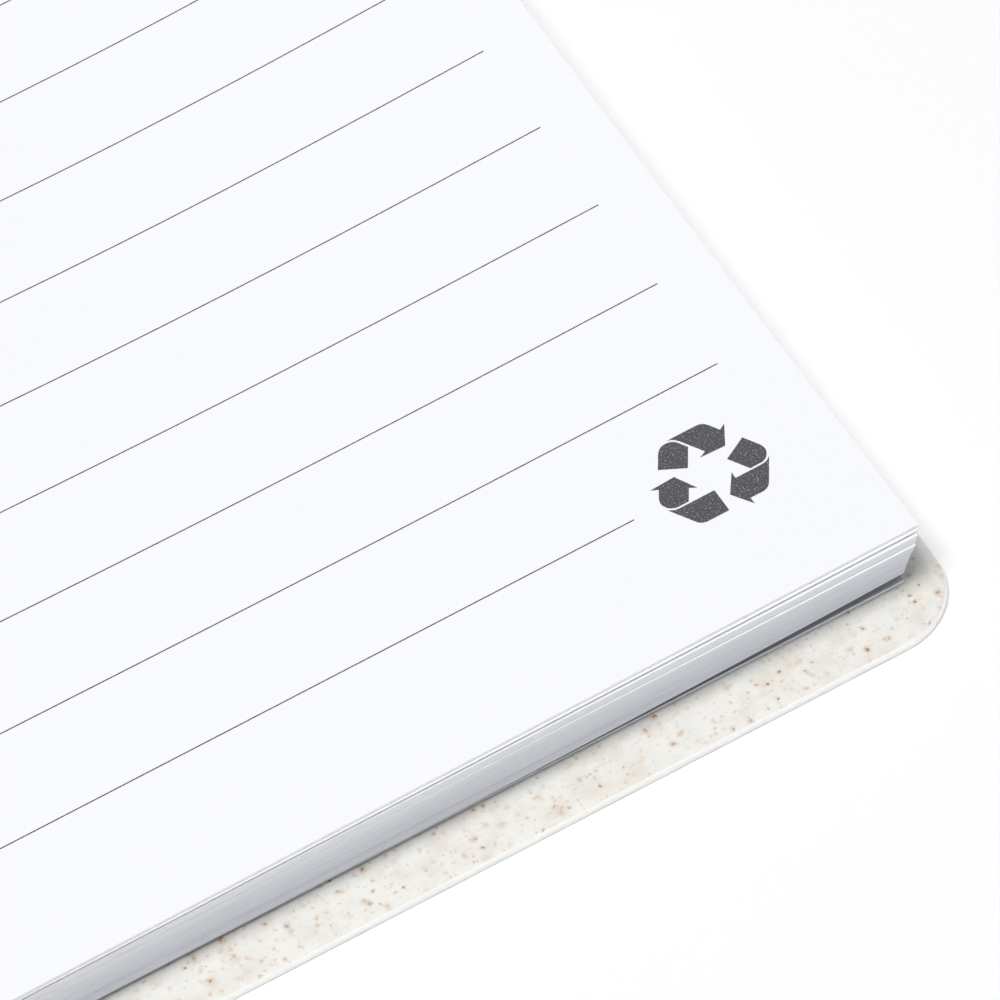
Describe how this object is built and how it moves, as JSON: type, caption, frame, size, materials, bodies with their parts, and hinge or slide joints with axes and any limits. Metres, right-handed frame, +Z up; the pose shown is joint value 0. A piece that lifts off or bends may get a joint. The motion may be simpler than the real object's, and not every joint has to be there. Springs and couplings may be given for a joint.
{
  "type": "wire-bound exercise book",
  "caption": "Ruled exercise book with moulded plant-fibre covers and a twin-loop wire, lying open at its first page; the front cover turns about the wire.",
  "frame": {"origin": "on the table, midway between the fore edges of the two opened covers and midway along the wire", "axes": "+X across the page from the wire to the fore edge, +Y up the page, +Z up off the table"},
  "size_m": [0.2966, 0.21, 0.013],
  "materials": {
    "fibre_plastic": "satin cream, lightly mottled, with fine brown plant-fibre flecks",
    "page_paper": "smooth matte white",
    "dark_wire": "satin dark coating"
  },
  "bodies": {
    "book": {"back_cover": "fibre_plastic", "page_block": "page_paper", "wire_binding": "dark_wire"},
    "front": {"front_cover": "fibre_plastic"}
  },
  "joints": [
    {"name": "front_cover_turn", "type": "hinge", "parent": "book", "child": "front", "pos_m": [0, 0, 0.00659], "axis": [0, 1, 0], "range_deg": [0, 181.8]}
  ]
}
